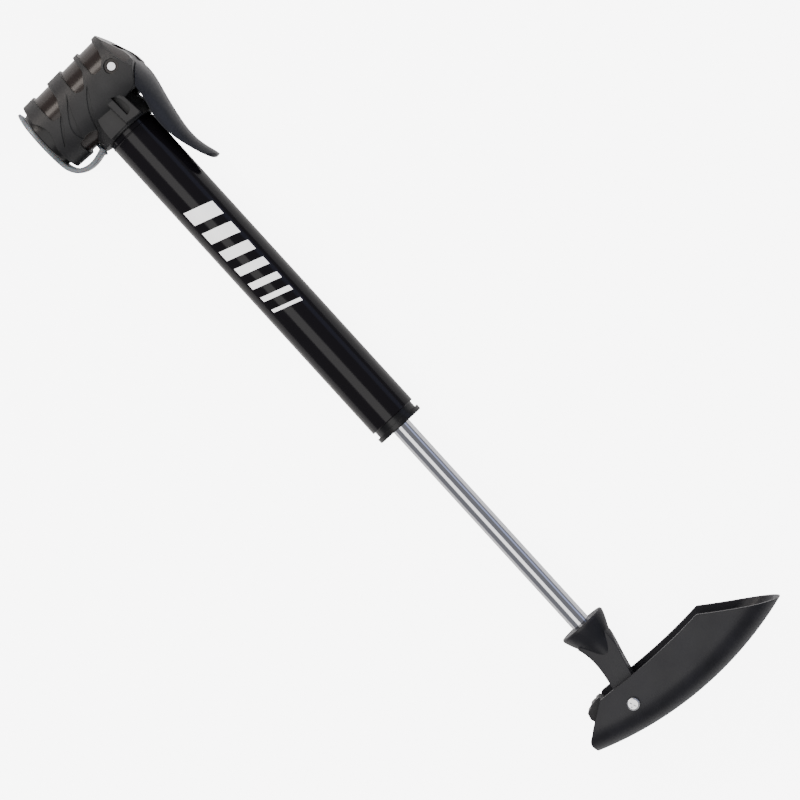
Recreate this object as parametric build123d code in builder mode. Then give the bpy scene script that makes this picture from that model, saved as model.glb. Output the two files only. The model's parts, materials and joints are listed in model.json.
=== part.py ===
from build123d import *
import os
from math import atan2, cos, degrees, radians, sin, sqrt

# Double action hand pump.
# The origin is on the barrel's axis, where the barrel leaves the head.
# +X runs along the barrel to the handle, the valve mouth opens towards -Y,
# and every hinge pin lies along Z.

os.makedirs("parts", exist_ok=True)

# ---------------------------------------------------------------- clearances
fixed_gap = 0.05  # between pieces that don't move on each other
run_gap = 0.05  # radial, between a shaft and its bore
side_gap = 0.3  # beside pieces that turn or slide
end_gap = 0.9  # between the piston and the valve block when the pump is closed

# ---------------------------------------------------------------- barrel
barrel_od = 22.0
barrel_wall = 1.0
barrel_len = 162.5  # what shows between the head and the gland
socket_depth = 8.5  # how far the barrel goes into the head
bead_x = 1.4
bead_r = 0.45
barrel_r = barrel_od / 2
bore_r = barrel_r - barrel_wall

# ---------------------------------------------------------------- gland
gland_in = 24.0  # length inside the barrel
groove_len = 2.9
groove_cut = 1.1  # how far the groove is under the barrel's surface
flange_len = 2.3
flange_r = barrel_r + 0.1
gland_x0 = barrel_len - gland_in
flange_x0 = barrel_len + groove_len
flange_x1 = flange_x0 + flange_len
bush_r = 6.0
bush_len = 12.0
seal_r = 7.0
web_len = 1.5
lip_len = 4.0
wiper_lip = 0.5

# ---------------------------------------------------------------- rod, piston
rod_od = 8.5
rod_wall = 1.25
rod_r = rod_od / 2
rod_bore_r = rod_r - rod_wall
port_r = 1.0
bump_len = 3.0
piston_len = 16.0
piston_play = 0.15  # the piston's radial clearance in the bore
cap_len = 3.0
inner_seal_len = 2.0
clip_len = 1.2
clip_depth = 0.55  # how deep the clip sits in the rod
piston_x1 = gland_x0 - bump_len - 2 * side_gap
piston_x0 = piston_x1 - piston_len

# ---------------------------------------------------------------- valve block
block_x1 = 8.0
block_x0 = -socket_depth
tube_r = 2.0
tube_bore_r = 1.2
tube_seat = 9.0  # how far the delivery tube is pressed into the block
ball_r = 1.5
cage_r = 2.2
cage_len = 5.0
seat_r = 1.0
gallery_len = 1.0
side_port_y = 6.0  # the second check valve and the inlet, off the axis
flap_r = 2.6
flap_len = 0.8
stroke = piston_x0 - block_x1 - end_gap

# ---------------------------------------------------------------- head
valve_x = -21.6  # the valve's axis, parallel to Y
head_r = 16.0  # inside the raised bands, at head_r_y
head_r_y = -18.0
head_draft = 0.035  # the body widens this much for each millimetre upwards
band_high = 1.1
mouth_y = -27.0
neck_wall = 2.8
neck_r = barrel_r + neck_wall
neck_x1 = -1.0
pin_x = -23.6
pin_y = 13.9
pin_r = 2.0
pin_half = 17.0
slot_half = 8.1  # half the slot between the ears
parting_off = 8.8  # from the lever's pin to the joint line of ear and lever
chamber_r = 7.6
anchor_x = -2.8  # the strap's anchor in the neck
anchor_r = 1.0
lip_bore_r = 13.6
lug_high = 1.9  # the lug and the rib below it stand this far out from the neck
lug_round = 0.7
rib_high = 0.5
collar_y0 = -29.5
collar_y1 = -20.0
collar_hole_r = 5.2

# ---------------------------------------------------------------- valve grip
grommet_r = 7.3
grommet_top = -13.0
valve_r = 3.9  # the hole for a tyre valve
valve_len = 10.0
throat_r = 2.8
plunger_travel = 2.0
cam_r = 6.0
lever_range = 75.0
cam_clear = 0.2
plunger_neck_y = -4.0
plunger_neck_r = 6.0
half_sweep = radians(lever_range / 2)
cam_off = plunger_travel / (2 * sin(half_sweep))
cam_angle = radians(90) + radians(90) - half_sweep
cam_x = pin_x + cam_off * cos(cam_angle)
cam_y = pin_y + cam_off * sin(cam_angle)
plunger_y1 = cam_y - cam_r - cam_clear

# ---------------------------------------------------------------- handle
stem_x0 = flange_x1 + stroke + 2.3
stem_top_r = barrel_r - 0.3
rod_seat = 11.0
pivot_x = stem_x0 + 38.1
pivot_y = -4.7
knuckle_r = 5.4
knuckle_half = 8.0
sleeve_r = 2.4
screw_r = 1.5
screw_head_r = 2.8
screw_head_len = 1.9
handle_wall = 2.0
inner_half = flange_r + 0.6  # the folded handle straddles the gland
outer_half = inner_half + handle_wall
spine_r = 157.0
spine_x = 15.7  # the spine's outermost point, from the pivot
spine_y = 27.2
back_round = 12.0
guide_half = 6.3
washer_r = 4.2  # the friction washers in the hinge


def along_x(radius, x0, x1, mode=Mode.ADD, y=0.0, z=0.0):
    """A cylinder parallel to the barrel, from x0 to x1."""
    with Locations(Location((x0, y, z), (0, 90, 0))):
        Cylinder(radius, x1 - x0, align=(Align.CENTER, Align.CENTER, Align.MIN), mode=mode)


def along_y(radius, y0, y1, mode=Mode.ADD, x=valve_x, z=0.0):
    """A cylinder parallel to the valve's axis, from y0 up to y1."""
    with Locations(Location((x, y1, z), (90, 0, 0))):
        Cylinder(radius, y1 - y0, align=(Align.CENTER, Align.CENTER, Align.MIN), mode=mode)


def along_z(radius, half, x, y, mode=Mode.ADD):
    """A cylinder parallel to the hinge pins, centred on z = 0."""
    with Locations((x, y, 0)):
        Cylinder(radius, 2 * half, mode=mode)


def save(part, name):
    """Label a finished piece and write it."""
    part.label = name
    export_step(part, "parts/" + name + ".step")


def wall_of_head(y, proud=0.0):
    """The head's radius about the valve's axis at height y."""
    return head_r + head_draft * (y - head_r_y) + proud


# ================================================================ barrel group
with BuildPart() as barrel_tube:
    along_x(barrel_r, block_x0, barrel_len)
    along_x(bore_r, block_x0, barrel_len, mode=Mode.SUBTRACT)
    # a rolled bead beside the head
    with BuildSketch(Plane.XY):
        with Locations((bead_x, barrel_r - bead_r / 2)):
            Circle(bead_r)
    revolve(axis=Axis.X)
    rims = barrel_tube.edges().filter_by(GeomType.CIRCLE).sort_by(Axis.X)[-2:]
    chamfer(rims, 0.25)
    # the inlet hole, under the window in the neck
    with Locations((block_x0 + 4.0, 0, 0)):
        Cylinder(1.3, 2 * barrel_r, align=(Align.CENTER, Align.CENTER, Align.MIN), mode=Mode.SUBTRACT)
save(barrel_tube.part, "barrel_tube")

with BuildPart() as gland_nut:
    along_x(bore_r - fixed_gap, gland_x0, barrel_len)
    along_x(barrel_r - groove_cut, barrel_len, flange_x0)
    along_x(flange_r, flange_x0, flange_x1)
    chamfer(gland_nut.edges().group_by(Axis.X)[-1], 0.4)
    # two slots for a pin wrench
    with Locations((flange_x1, 0, 0)):
        Box(2 * 1.2, 2 * barrel_od, 3.0, mode=Mode.SUBTRACT)
    along_x(rod_r + side_gap, gland_x0, flange_x1, mode=Mode.SUBTRACT)
    along_x(bush_r, gland_x0, gland_x0 + bush_len, mode=Mode.SUBTRACT)
    along_x(seal_r, gland_x0 + bush_len + web_len, flange_x1, mode=Mode.SUBTRACT)
    # the O-ring's groove
    along_x(bore_r, gland_x0 + 6.0, gland_x0 + 8.2, mode=Mode.SUBTRACT)
    along_x(bore_r - 1.8, gland_x0 + 6.0, gland_x0 + 8.2)
    along_x(bush_r, gland_x0, gland_x0 + bush_len, mode=Mode.SUBTRACT)
save(gland_nut.part, "gland_nut")

with BuildPart() as gland_o_ring:
    with BuildSketch(Plane.XY):
        with Locations((gland_x0 + 7.1, bore_r - 0.95)):
            Circle(0.85)
    revolve(axis=Axis.X)
save(gland_o_ring.part, "gland_o_ring")

with BuildPart() as rod_bush:
    along_x(bush_r - fixed_gap, gland_x0 + 0.2, gland_x0 + bush_len)
    along_x(rod_r + run_gap, gland_x0 + 0.2, gland_x0 + bush_len, mode=Mode.SUBTRACT)
save(rod_bush.part, "rod_bush")

lip_x0 = gland_x0 + bush_len + web_len
with BuildPart() as lip_seal:
    along_x(seal_r - fixed_gap, lip_x0, lip_x0 + lip_len)
    along_x(rod_r + run_gap, lip_x0, lip_x0 + lip_len, mode=Mode.SUBTRACT)
    # the hollow behind the lip opens towards the chamber
    along_x(seal_r - 0.9, lip_x0, lip_x0 + 2.4, mode=Mode.SUBTRACT)
    along_x(rod_r + 0.9, lip_x0, lip_x0 + 2.4)
    along_x(rod_r + run_gap, lip_x0, lip_x0 + lip_len, mode=Mode.SUBTRACT)
save(lip_seal.part, "lip_seal")

with BuildPart() as wiper_ring:
    along_x(seal_r - fixed_gap, lip_x0 + lip_len + 0.1, flange_x1 - wiper_lip)
    chamfer(wiper_ring.edges().group_by(Axis.X)[-1], 0.8)
    along_x(rod_r + run_gap, lip_x0, flange_x1, mode=Mode.SUBTRACT)
save(wiper_ring.part, "wiper_ring")

cage_x0 = block_x0 + gallery_len
cage_x1 = cage_x0 + cage_len
ball_reach = sqrt(ball_r**2 - seat_r**2)  # from the seat's edge to the ball's centre
ball_x = cage_x1 - ball_reach - 0.03
with BuildPart() as valve_block:
    along_x(bore_r - fixed_gap, block_x0 + 0.05, block_x1)
    chamfer(valve_block.edges().group_by(Axis.X)[-1], 0.5)
    along_x(bore_r - 2.4, block_x0, cage_x0, mode=Mode.SUBTRACT)
    # O-ring groove
    along_x(bore_r, 2.0, 4.2, mode=Mode.SUBTRACT)
    along_x(bore_r - 1.8, 2.0, 4.2)
    # pull-stroke delivery, on the axis
    along_x(cage_r, block_x0, cage_x1, mode=Mode.SUBTRACT)
    along_x(seat_r, cage_x1, block_x1, mode=Mode.SUBTRACT)
    along_x(tube_r, block_x1 - tube_seat, block_x1, mode=Mode.SUBTRACT)
    # push-stroke delivery, below the axis
    along_x(cage_r, block_x0, cage_x1, mode=Mode.SUBTRACT, y=-side_port_y)
    along_x(seat_r, cage_x1, block_x1, mode=Mode.SUBTRACT, y=-side_port_y)
    # inlet, under its flap, led out to the side
    along_x(1.2, block_x0 + 4.0, block_x1, mode=Mode.SUBTRACT, y=side_port_y - 1.2, z=3.0)
    with Locations((block_x0 + 4.0, side_port_y - 1.2, 3.0)):
        Cylinder(1.2, bore_r, align=(Align.CENTER, Align.CENTER, Align.MIN), mode=Mode.SUBTRACT)
    along_x(flap_r + side_gap, block_x1 - 1.4, block_x1, mode=Mode.SUBTRACT, y=side_port_y - 1.2, z=3.0)
save(valve_block.part, "valve_block")

with BuildPart() as block_o_ring:
    with BuildSketch(Plane.XY):
        with Locations((3.1, bore_r - 0.95)):
            Circle(0.85)
    revolve(axis=Axis.X)
save(block_o_ring.part, "block_o_ring")

with BuildPart() as inlet_flap:
    along_x(flap_r, block_x1 - 1.35, block_x1 - 1.35 + flap_len, y=side_port_y - 1.2, z=3.0)
    along_x(0.7, block_x1 - 5.0, block_x1 - 1.3, y=side_port_y - 1.2, z=3.0)
save(inlet_flap.part, "inlet_flap")

tube_x0 = block_x1 - tube_seat
tube_x1 = piston_x0 + 12.0
with BuildPart() as delivery_tube:
    along_x(tube_r - 0.02, tube_x0, tube_x1)
    along_x(tube_bore_r, tube_x0, tube_x1, mode=Mode.SUBTRACT)
save(delivery_tube.part, "delivery_tube")


def check_ball(y, name):
    """The steel ball of one check valve, on its seat."""
    with BuildPart() as ball:
        with Locations((ball_x, y, 0)):
            Sphere(ball_r)
    save(ball.part, name)


check_ball(0.0, "pull_check_ball")
check_ball(-side_port_y, "push_check_ball")


def coil(start, direction, length, radius, wire, turns, name):
    """A small coil spring from start along direction, its ends left open."""
    with BuildPart() as spring:
        with BuildLine():
            turn_path = Helix((length - 2 * wire) / turns, length - 2 * wire, radius, start, direction)
        with BuildSketch(Plane(origin=turn_path @ 0, z_dir=turn_path % 0)):
            Circle(wire / 2)
        sweep(is_frenet=True)
    save(spring.part, name)


spring_len = ball_x - ball_r - block_x0 - 0.3
coil((block_x0 + 0.5, 0, 0), (1, 0, 0), spring_len, 1.1, 0.3, 3.5, "pull_check_spring")
coil((block_x0 + 0.5, -side_port_y, 0), (1, 0, 0), spring_len, 1.1, 0.3, 3.5, "push_check_spring")

# ================================================================ head
# Side views of the recesses between the raised bands. They run out past the
# head's left side, so each one wraps round from the near face to the far one.
left_x = valve_x - 24.0
pocket_top = [
    (left_x, 4.6),
    (-35.3, 5.0),
    (-25.9, 5.6),
    (-25.4, 9.8),
    (-28.6, 12.9),
    (-33.0, 14.0),
    (left_x, 13.4),
]
pocket_mid = [(left_x, 1.9), (-34.4, 3.3), (-30.6, 3.2), (-24.0, -0.9), (-25.6, -5.1), (left_x, -5.6)]
pocket_low = [(left_x, -13.9), (-34.8, -12.2), (-29.7, -12.3), (-22.6, -15.7), (-23.3, -19.9), (left_x, -22.0)]
pocket_end = [(-9.6, -18.6), (-10.5, -13.4), (-9.4, -9.2), (-4.6, -9.2), (2.0, -13.0), (2.0, -19.0)]
band_edge_round = 1.7
# Moulded lines across the bands: a sweep below the upper recesses, a leaf
# between the lower ones, and the tail of the lowest recess.
line_deep = 0.45
line_sweep = [(-24.6, 1.0), (-19.2, -2.1), (-13.6, -5.8), (-8.2, -9.3)]
line_sweep_back = [(-8.2, -9.3), (-14.2, -6.9), (-19.6, -3.6), (-24.6, 1.0)]
line_leaf = [(-28.4, -8.0), (-22.4, -10.6), (-15.2, -13.6), (-8.8, -15.0)]
line_leaf_back = [(-8.8, -15.0), (-14.6, -16.6), (-20.6, -13.6), (-28.4, -8.0)]
line_tail = [(-23.8, -14.9), (-19.6, -17.4), (-15.6, -20.4), (-12.4, -24.0)]
line_tail_back = [(-12.4, -24.0), (-16.4, -21.2), (-20.2, -18.4), (-23.8, -14.9)]
crown_r = 34.0  # the ears' tops are rounded from side to side
lug_points = [(-18.9, 1.0), (-17.1, 4.7), (-13.8, 7.9), (-9.4, 10.1), (-5.2, 10.9), (-2.4, 10.5), (-1.5, 8.0)]

# the joint line between the ears and the lever, square to this direction
parting_dir = (0.629, 0.777)
parting_run = (0.777, -0.629)
foot = (pin_x + parting_off * parting_dir[0], pin_y + parting_off * parting_dir[1])
part_top = (foot[0] - 1.9 * parting_run[0], foot[1] - 1.9 * parting_run[1])
part_low = (foot[0] + 8.0 * parting_run[0], foot[1] + 8.0 * parting_run[1])

with BuildPart() as strap_lug:
    # the D-shaped lug across the neck
    with BuildSketch(Plane.XY):
        with BuildLine():
            lug_back = Spline(*lug_points)
            Polyline(lug_back @ 1, (-2.1, 2.0), lug_back @ 0)
        make_face()
    extrude(amount=neck_r + lug_high, both=True)
    fillet(strap_lug.faces().filter_by(Axis.Z).edges(), lug_round)

with BuildPart() as head_body:
    # the round body, widening upwards
    with BuildSketch(Plane.XY):
        with BuildLine():
            Polyline(
                (valve_x, mouth_y),
                (valve_x + wall_of_head(mouth_y, band_high), mouth_y),
                (valve_x + wall_of_head(24.0, band_high), 24.0),
                (valve_x, 24.0),
                close=True,
            )
        make_face()
    revolve(axis=Axis(origin=(valve_x, 0, 0), direction=(0, 1, 0)))
    # the neck that holds the barrel
    along_x(neck_r, valve_x, neck_x1)
    # the strap lug on both sides of the neck, and the rib below it
    add(strap_lug.part)
    with BuildSketch(Plane.XY):
        with BuildLine():
            rib_side = Spline((-17.0, 1.2), (-15.4, -2.6), (-11.8, -5.6), (-6.6, -7.0), (-1.7, -7.2))
            Polyline(rib_side @ 1, (-2.0, 2.6), rib_side @ 0)
        make_face()
    extrude(amount=neck_r + rib_high, both=True)
    # trim the top along the ears and the joint line with the lever
    with BuildSketch(Plane.XY):
        with BuildLine():
            Polyline(
                (-60, 40),
                (-60, 7.3),
                (-39.8, 15.6),
                (-33.0, 18.4),
                (-25.5, 21.3),
                (-22.7, 21.9),
                part_top,
                part_low,
                (part_low[0] + 1.2, neck_r - 4.6),
                (neck_x1 + 10, neck_r - 3.0),
                (neck_x1 + 10, 40),
                close=True,
            )
        make_face()
    extrude(amount=40, both=True, mode=Mode.SUBTRACT)
    # round the tops of the ears from side to side
    crown_turn = degrees(atan2(21.9 - 15.6, -22.7 + 39.8))
    with Locations(Location((pin_x, 21.6 - crown_r, 0), (0, 0, crown_turn))):
        with Locations(Location((0, 0, 0), (0, 90, 0))):
            Cylinder(crown_r, 160, mode=Mode.INTERSECT)
    # the neck again, which the trim took the top of
    along_x(neck_r, -13.0, neck_x1)


def core_of_head(proud):
    """What is left of the head under recesses whose floor stands proud of the recess radius."""
    with BuildPart() as core:
        with BuildSketch(Plane.XY):
            with BuildLine():
                Polyline(
                    (valve_x, mouth_y - 1),
                    (valve_x + wall_of_head(mouth_y - 1, proud), mouth_y - 1),
                    (valve_x + wall_of_head(24.0, proud), 24.0),
                    (valve_x, 24.0),
                    close=True,
                )
            make_face()
        revolve(axis=Axis(origin=(valve_x, 0, 0), direction=(0, 1, 0)))
        along_x(neck_r, valve_x + 8.0, neck_x1)
    return core.part


recess_core = core_of_head(0.0)
line_core = core_of_head(band_high - line_deep)


def recess(points):
    """The skin between the bands inside one side outline, with its corners rounded."""
    with BuildPart() as skin:
        with BuildSketch(Plane.XY):
            with BuildLine():
                Polyline(*points, close=True)
            make_face()
        extrude(amount=40, both=True)
        uprights = [e for e in skin.edges().filter_by(Axis.Z) if left_x + 1 < e.center().X < neck_x1]
        fillet(uprights, band_edge_round)
        add(recess_core, mode=Mode.SUBTRACT)
    return skin.part


def moulded_line(there, back):
    """A shallow, pointed groove in the bands between two curves."""
    with BuildPart() as skin:
        with BuildSketch(Plane.XY):
            with BuildLine():
                Spline(*there)
                Spline(*back)
            make_face()
        extrude(amount=40, both=True)
        add(line_core, mode=Mode.SUBTRACT)
    return skin.part


with head_body:
    for outline in (pocket_top, pocket_mid, pocket_low, pocket_end):
        add(recess(outline), mode=Mode.SUBTRACT)
    # the arch in the lip on the near and far sides
    with BuildSketch(Plane.XY):
        with BuildLine():
            Polyline((-29.6, mouth_y - 3), (-29.0, mouth_y - 0.2), (-25.4, mouth_y + 1.9))
            ThreePointArc((-25.4, mouth_y + 1.9), (-21.9, mouth_y + 2.9), (-18.2, mouth_y + 2.2))
            Polyline((-18.2, mouth_y + 2.2), (-14.0, mouth_y + 0.4), (-9.0, mouth_y), (-9.0, mouth_y - 3))
            Line((-9.0, mouth_y - 3), (-29.6, mouth_y - 3))
        make_face()
    extrude(amount=40, both=True, mode=Mode.SUBTRACT)
    add(moulded_line(line_sweep, line_sweep_back), mode=Mode.SUBTRACT)
    add(moulded_line(line_leaf, line_leaf_back), mode=Mode.SUBTRACT)
    add(moulded_line(line_tail, line_tail_back), mode=Mode.SUBTRACT)
    # the window in the lug
    for side in (1, -1):
        with BuildSketch(Plane.XY.offset(side * (neck_r - 1.2))):
            with BuildLine():
                sill = Line((-14.2, 4.6), (-4.6, 4.9))
                Spline(sill @ 1, (-5.6, 7.4), (-9.3, 7.7), (-12.6, 6.7), sill @ 0)
            make_face()
        extrude(amount=side * 6.0, mode=Mode.SUBTRACT)
    # inside: barrel socket, air way, valve chamber, lip, lever slot
    along_x(barrel_r + fixed_gap, block_x0, neck_x1 + 0.1, mode=Mode.SUBTRACT)
    along_x(1.6, valve_x, block_x0, mode=Mode.SUBTRACT)
    along_y(chamber_r, mouth_y - 1, pin_y, mode=Mode.SUBTRACT)
    along_y(lip_bore_r, mouth_y - 1, collar_y1, mode=Mode.SUBTRACT)
    slot_r = cam_r + cam_off + 0.6
    with BuildSketch(Plane.XY):
        with Locations((pin_x, pin_y)):
            Circle(slot_r)
        with BuildLine():
            Polyline(
                (pin_x - slot_r, pin_y),
                (pin_x - slot_r, 40),
                (neck_x1 + 5, 40),
                (neck_x1 + 5, neck_r + 1.2),
                (pin_x + slot_r + 2.0, pin_y - 2.6),
                (pin_x + slot_r - 1.0, pin_y - 4.0),
                (pin_x, pin_y),
                close=True,
            )
        make_face()
    extrude(amount=slot_half, both=True, mode=Mode.SUBTRACT)
    # the lever pin's holes and the ring sunk round each end
    along_z(pin_r + 0.01, 40, pin_x, pin_y, mode=Mode.SUBTRACT)
    for side in (1, -1):
        with BuildSketch(Plane.XY.offset(side * (pin_half - 0.4))):
            with Locations((pin_x, pin_y)):
                Circle(pin_r + 1.2)
        extrude(amount=side * 6.0, mode=Mode.SUBTRACT)
    # the strap's anchor hole
    with Locations(Location((anchor_x, -barrel_r - 0.3, 0), (90, 0, 0))):
        Cylinder(anchor_r, 2 * neck_wall, align=(Align.CENTER, Align.CENTER, Align.MIN), mode=Mode.SUBTRACT)
save(head_body.part, "head_body")

with BuildPart() as lever_pin:
    along_z(pin_r, pin_half, pin_x, pin_y)
    chamfer(lever_pin.edges().filter_by(GeomType.CIRCLE), 0.3)
save(lever_pin.part, "lever_pin")

with BuildPart() as mouth_collar:
    along_y(lip_bore_r - fixed_gap, collar_y0, collar_y1)
    fillet(mouth_collar.edges().group_by(Axis.Y)[0], 1.0)
    along_y(grommet_r + fixed_gap, mouth_y, collar_y1, mode=Mode.SUBTRACT)
    along_y(collar_hole_r, collar_y0, mouth_y, mode=Mode.SUBTRACT)
    chamfer(mouth_collar.edges().filter_by(GeomType.CIRCLE).group_by(Axis.Y)[0].sort_by(SortBy.RADIUS)[0], 0.6)
save(mouth_collar.part, "mouth_collar")

with BuildPart() as valve_grommet:
    along_y(grommet_r, mouth_y, grommet_top)
    along_y(valve_r, mouth_y, mouth_y + valve_len, mode=Mode.SUBTRACT)
    along_y(throat_r, mouth_y, grommet_top, mode=Mode.SUBTRACT)
save(valve_grommet.part, "valve_grommet")

# ================================================================ plunger
plunger_ring_y = 2.0
with BuildPart() as plunger:
    along_y(chamber_r - run_gap, plunger_neck_y, plunger_y1)
    along_y(plunger_neck_r, grommet_top + fixed_gap, plunger_neck_y)
    chamfer(plunger.edges().group_by(Axis.Y)[-1], 0.4)
    along_y(chamber_r, plunger_ring_y - 1.1, plunger_ring_y + 1.1, mode=Mode.SUBTRACT)
    along_y(chamber_r - 1.8, plunger_ring_y - 1.1, plunger_ring_y + 1.1)
    along_y(1.6, grommet_top, plunger_neck_y - 2.0, mode=Mode.SUBTRACT)
    along_x(1.2, valve_x - chamber_r, valve_x + chamber_r, mode=Mode.SUBTRACT, y=plunger_neck_y - 3.0)
save(plunger.part, "plunger")

with BuildPart() as plunger_o_ring:
    with BuildSketch(Plane.XY):
        with Locations((valve_x + chamber_r - 0.95, plunger_ring_y)):
            Circle(0.85)
    revolve(axis=Axis(origin=(valve_x, 0, 0), direction=(0, 1, 0)))
save(plunger_o_ring.part, "plunger_o_ring")

with BuildPart() as core_pin:
    # three flats let the air past
    along_y(1.55, grommet_top - 3.0, plunger_neck_y - 5.0)
    for turn in (0, 120, 240):
        with Locations(Location((valve_x, grommet_top - 3.1, 0), (90, turn, 0))):
            with Locations((1.9, 0, 0)):
                Box(1.6, 3.0, 40, mode=Mode.SUBTRACT)
save(core_pin.part, "core_pin")

# ================================================================ lever
lever_wall = 2.2
hub_half = slot_half - side_gap
fill_r = 7.3  # the hub's filling sector about the pin, and its first and last angle
fill_start = -4
fill_turn = 137
hub_web_y = 21.4  # the top of the web that joins the hub to the lever's back
hub_r = pin_y - plunger_y1 - cam_clear
# Cross sections along the lever: place, height of the back, and half widths at
# the crease of the back, side_drop below the back and at the bottom.
lever_forms = [
    (-25.0, 20.9, 9.0, 17.2, 18.4),
    (-16.5, 22.8, 8.4, 16.1, 17.4),
    (-10.5, 22.7, 6.6, 13.2, 15.2),
    (-4.0, 21.4, 5.6, 10.9, 12.8),
    (5.0, 19.5, 5.3, 9.9, 11.8),
    (14.0, 18.2, 5.1, 9.4, 11.0),
    (23.0, 18.6, 4.9, 8.9, 10.2),
    (32.5, 20.9, 4.7, 8.5, 9.6),
]
crease_drop = 0.7
side_drop = 4.6
lever_floor = 5.0  # the sections go down to here before the side view trims them
lever_low = [
    (31.2, 17.9),
    (27.0, 16.2),
    (21.4, 14.3),
    (15.3, 12.8),
    (8.3, 12.1),
    (1.2, 12.8),
    (-4.0, 14.2),
    (-9.0, 15.2),
]
lever_tip = (32.2, 19.4)
lever_tip_half = 9.4


def lever_form(first, last, inset):
    """The lever's rounded body between two of its sections, shrunk by inset."""
    with BuildPart() as form:
        for at_x, back_y, crease, side, foot_half in lever_forms[first:last]:
            with BuildSketch(Plane(origin=(at_x, 0, 0), x_dir=(0, 0, 1), z_dir=(-1, 0, 0))):
                top = back_y - inset
                with BuildLine():
                    skin = Spline(
                        (inset - foot_half, lever_floor),
                        (inset - side, top - side_drop),
                        (inset / 2 - crease, top - crease_drop),
                        (0, top),
                        (crease - inset / 2, top - crease_drop),
                        (side - inset, top - side_drop),
                        (foot_half - inset, lever_floor),
                    )
                    Line(skin @ 1, skin @ 0)
                make_face()
        loft()
    return form.part


with BuildPart() as lever:
    add(lever_form(0, 8, 0.0))
    # trim to the side view: the nose, the underside and the joint line
    with BuildSketch(Plane.XY):
        with BuildLine():
            nose = ThreePointArc((31.2, 21.0), lever_tip, lever_low[0])
            belly = Spline(*lever_low)
            Polyline(belly @ 1, part_low, part_top, (part_top[0], 40), (31.2, 40), nose @ 0)
        make_face()
    extrude(amount=40, both=True, mode=Mode.INTERSECT)
    # plan view of the rounded tip
    with BuildSketch(Plane.XZ.offset(-60)):
        with BuildLine():
            Polyline((-40, -30), (20, -30), (24, -lever_tip_half))
            round_tip = [(24, -lever_tip_half), (lever_tip[0], 0), (24, lever_tip_half)]
            Spline(*round_tip, tangents=((1, 0.2), (-1, 0.2)))
            Polyline((24, lever_tip_half), (20, 30), (-40, 30), (-40, -30))
        make_face()
    extrude(amount=80, mode=Mode.INTERSECT)
    # hollow underneath, clear of the neck and of the barrel
    add(lever_form(2, 7, lever_wall), mode=Mode.SUBTRACT)
    along_x(neck_r + 0.6, -30.0, neck_x1 + side_gap, mode=Mode.SUBTRACT)
    # the ears' side of the joint line, with a gap
    with BuildSketch(Plane.XY):
        with BuildLine():
            Polyline(
                (part_top[0] - 9, part_top[1] + 7.3),
                (part_top[0] + side_gap * parting_dir[0], part_top[1] + side_gap * parting_dir[1]),
                (part_low[0] + side_gap * parting_dir[0], part_low[1] + side_gap * parting_dir[1]),
                (part_low[0] + 0.5, -5),
                (-50, -5),
                (-50, part_top[1] + 7.3),
                close=True,
            )
        make_face()
    extrude(amount=40, both=True, mode=Mode.SUBTRACT)
    # hub and cam between the ears
    with BuildSketch(Plane.XY):
        with Locations((cam_x, cam_y)):
            Circle(cam_r)
        with Locations((pin_x, pin_y)):
            Circle(hub_r)
        # a sector that fills the slot's top, and clears the plunger when the lever is open
        with BuildLine():
            PolarLine((pin_x, pin_y), fill_r, fill_start)
            fill_arc = CenterArc((pin_x, pin_y), fill_r, fill_start, fill_turn - fill_start)
            Line(fill_arc @ 1, (pin_x, pin_y))
        make_face()
        with BuildLine():
            Polyline(
                (pin_x, pin_y + fill_r + 0.2),
                (-20.6, hub_web_y),
                (-17.0, hub_web_y),
                (-10.0, hub_web_y - 0.6),
                (-9.0, neck_r + 3.0),
                (-13.6, neck_r + 1.2),
                (pin_x, pin_y),
                close=True,
            )
        make_face()
    extrude(amount=hub_half, both=True)
    along_x(neck_r + 0.6, -16.0, neck_x1 + side_gap, mode=Mode.SUBTRACT)
    along_z(pin_r + run_gap, 30, pin_x, pin_y, mode=Mode.SUBTRACT)
save(lever.part, "lever")

# ================================================================ dust cap
strap_half = 4.5  # half the strap's width at the bend
tab_half = 9.0  # half the flap's width under the mouth
strap_thick = 2.3
flap_y1 = collar_y0 - side_gap
flap_y0 = flap_y1 - strap_thick
bend_x = -8.0  # the thin line the flap turns on, at the strap's outer face
cap_gap = 0.12
sweep_x = -6.2  # where the strap starts to curve up to the neck
strap_foot_y = -neck_r - 0.1
with BuildPart() as dust_cap:
    with BuildSketch(Plane.XZ.offset(-flap_y0)):
        with Locations((valve_x, 0)):
            Circle(tab_half)
        with BuildLine():
            Polyline(
                (valve_x, -tab_half),
                (-33.0, -4.0),
                (-37.4, 0),
                (-33.0, 4.0),
                (valve_x, tab_half),
                (bend_x - cap_gap, strap_half),
                (bend_x - cap_gap, -strap_half),
                close=True,
            )
        make_face()
    extrude(amount=-strap_thick)
    along_y(collar_hole_r - 0.5, flap_y0, flap_y1 + 1.6)
    chamfer(dust_cap.edges().group_by(Axis.Y)[-1], 0.5)
save(dust_cap.part, "dust_cap")

with BuildPart() as strap_root:
    with BuildSketch(Plane.XY):
        with BuildLine():
            Line((bend_x + cap_gap, flap_y0), (sweep_x, flap_y0 + 0.2))
            outside = [(sweep_x, flap_y0 + 0.2), (-0.4, -26.6), (0.7, -20.0), (-1.7, strap_foot_y)]
            Spline(*outside, tangents=((1, 0.15), (-0.4, 1)))
            Line((-1.7, strap_foot_y), (-3.9, strap_foot_y))
            inside = [(-3.9, strap_foot_y), (-1.3, -20.4), (-2.2, -25.4), (sweep_x, flap_y1)]
            Spline(*inside, tangents=((0.4, -1), (-1, -0.15)))
            Polyline((sweep_x, flap_y1), (bend_x + cap_gap, flap_y1), (bend_x + cap_gap, flap_y0))
        make_face()
    extrude(amount=strap_half, both=True)
    # the barb that holds it in the neck
    with Locations(Location((anchor_x, -barrel_r - 0.4, 0), (90, 0, 0))):
        Cylinder(anchor_r - 0.05, neck_wall, align=(Align.CENTER, Align.CENTER, Align.MIN))
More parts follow.
